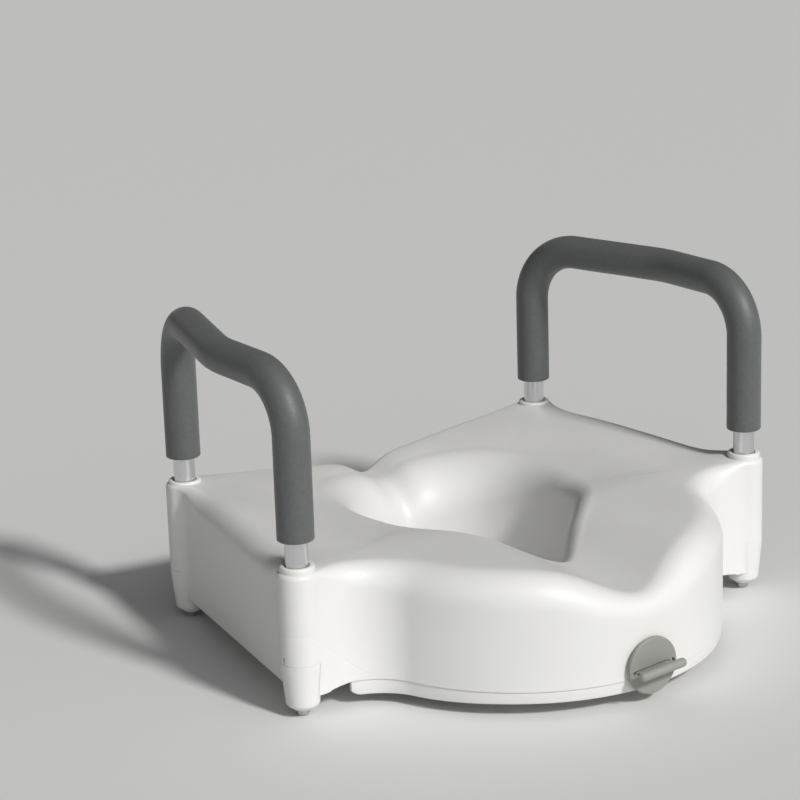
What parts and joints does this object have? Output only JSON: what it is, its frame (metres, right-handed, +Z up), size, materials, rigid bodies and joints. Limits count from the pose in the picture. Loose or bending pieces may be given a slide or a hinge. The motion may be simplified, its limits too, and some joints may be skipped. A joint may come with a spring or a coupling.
{
  "type": "raised toilet seat",
  "caption": "Raised toilet seat: a deep dished moulded seat on a base tray, with padded bent-tube arms at both sides and a front knob that draws a clamp jaw against the bowl rim.",
  "frame": {"origin": "under the middle of the object's bounding box, on the plane of the lower ends of the four arm bolts, the lowest points", "axes": "+Z up, the nose and knob of the seat towards -Y, +X to the right of a person looking from the front"},
  "size_m": [0.593, 0.5213, 0.3465],
  "materials": {
    "body": "satin moulded polyethylene, warm white",
    "foam": "matte closed-cell foam rubber, dark grey-green",
    "tube": "satin drawn tube",
    "steel": "bright zinc plated",
    "rubber": "matte",
    "knob": "fine matte, warm grey"
  },
  "bodies": {
    "seat": {"seat_shell": "body", "base_tray": "body", "rim_pads": "rubber", "rear_lug_caps": "rubber", "front_left_socket": "body", "front_right_socket": "body", "rear_left_socket": "body", "rear_right_socket": "body", "left_arm_tube": "tube", "right_arm_tube": "tube", "left_arm_grip": "foam", "right_arm_grip": "foam", "left_arm_plugs": "steel", "right_arm_plugs": "steel", "left_arm_bolts": "steel", "right_arm_bolts": "steel", "left_arm_washers": "steel", "right_arm_washers": "steel", "clamp_bush": "knob", "screw_bracket": "steel", "bracket_screws": "steel"},
    "knob": {"clamp_knob": "knob", "clamp_screw": "steel", "thrust_washer": "steel", "retaining_clip": "steel"},
    "jaw": {"clamp_jaw": "body", "jaw_nut": "steel", "jaw_pad": "rubber"}
  },
  "joints": [
    {"name": "knob_turn", "type": "hinge", "parent": "seat", "child": "knob", "pos_m": [0, -0.2373, 0.038], "axis": [0, 1, 0], "range_deg": [-1080, 720]},
    {"name": "jaw_slide", "type": "slide", "parent": "seat", "child": "jaw", "axis": [0, 1, 0], "range_m": [-0.0101, 0.0151]}
  ],
  "couplings": [
    {"joint": "jaw_slide", "follows": "knob_turn", "m_per_rad": -0.00079577}
  ]
}
